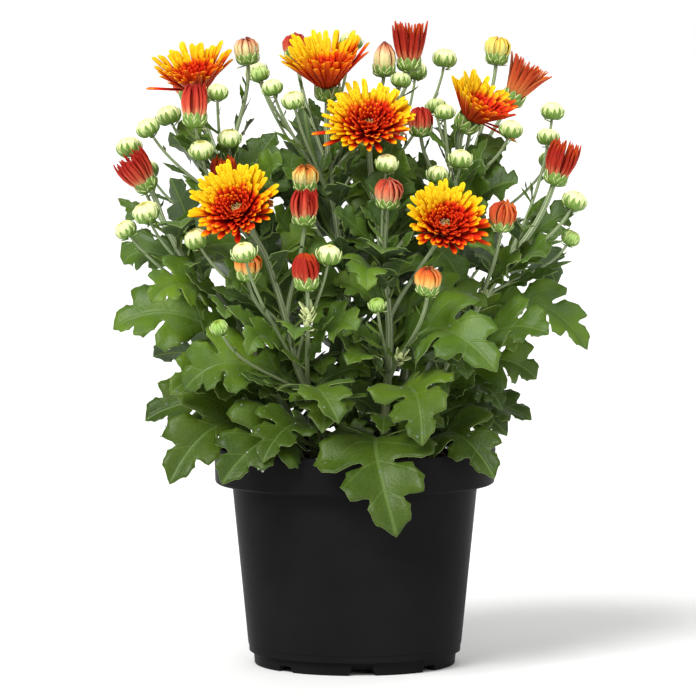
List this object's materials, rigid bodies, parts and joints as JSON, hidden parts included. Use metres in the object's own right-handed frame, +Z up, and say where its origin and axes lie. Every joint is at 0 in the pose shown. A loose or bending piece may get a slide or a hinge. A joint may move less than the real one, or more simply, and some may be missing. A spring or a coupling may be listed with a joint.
{
  "type": "potted chrysanthemum",
  "caption": "Bushy pot chrysanthemum with yellow and red blooms, half-open heads, buds and lobed leaves, in a round black nursery pot of soil.",
  "frame": {"origin": "on the ground, under the middle of the pot's foot, which is the middle of the whole plant's width and depth to about 2 mm", "axes": "+Z up the pot's axis; the side seen in the picture faces -Y"},
  "size_m": [0.2382, 0.1963, 0.3183],
  "materials": {
    "pot_plastic": "satin black, slightly worn",
    "peat_soil": "crumbly, matte",
    "leaf_and_stem": "soft satin with a grey-green bloom",
    "yellow_red_petals": "soft petal, yellow tips over red",
    "red_petals": "soft petal, red",
    "bud_petals": "soft petal, orange over pale green"
  },
  "bodies": {
    "root": {"bloom_back_left": "yellow_red_petals", "bloom_back_middle": "yellow_red_petals", "bloom_left": "yellow_red_petals", "bloom_right": "yellow_red_petals", "bloom_top": "yellow_red_petals", "bloom_top_left": "yellow_red_petals", "bloom_top_right": "yellow_red_petals", "bloom_upper_middle": "yellow_red_petals", "colour_bud_back_right": "bud_petals", "colour_bud_behind_top": "bud_petals", "colour_bud_lower_left": "bud_petals", "colour_bud_lower_right": "bud_petals", "colour_bud_middle": "bud_petals", "colour_bud_top": "bud_petals", "colour_bud_top_left": "bud_petals", "colour_bud_top_right": "bud_petals", "colour_bud_upper_left": "bud_petals", "half_open_back_left": "red_petals", "half_open_back_right": "red_petals", "half_open_behind_left": "red_petals", "half_open_far_left": "red_petals", "half_open_far_right": "red_petals", "half_open_left_middle": "red_petals", "half_open_lower_middle": "red_petals", "half_open_right": "red_petals", "half_open_top": "red_petals", "half_open_top_left": "red_petals", "half_open_top_right": "red_petals", "half_open_upper_right": "red_petals", "pot": "pot_plastic", "shoot_back": "leaf_and_stem", "shoot_back_left": "leaf_and_stem", "shoot_back_right": "leaf_and_stem", "shoot_centre": "leaf_and_stem", "shoot_front_left": "leaf_and_stem", "shoot_front_right": "leaf_and_stem", "shoot_left": "leaf_and_stem", "shoot_right": "leaf_and_stem", "soil": "peat_soil"}
  },
  "joints": []
}
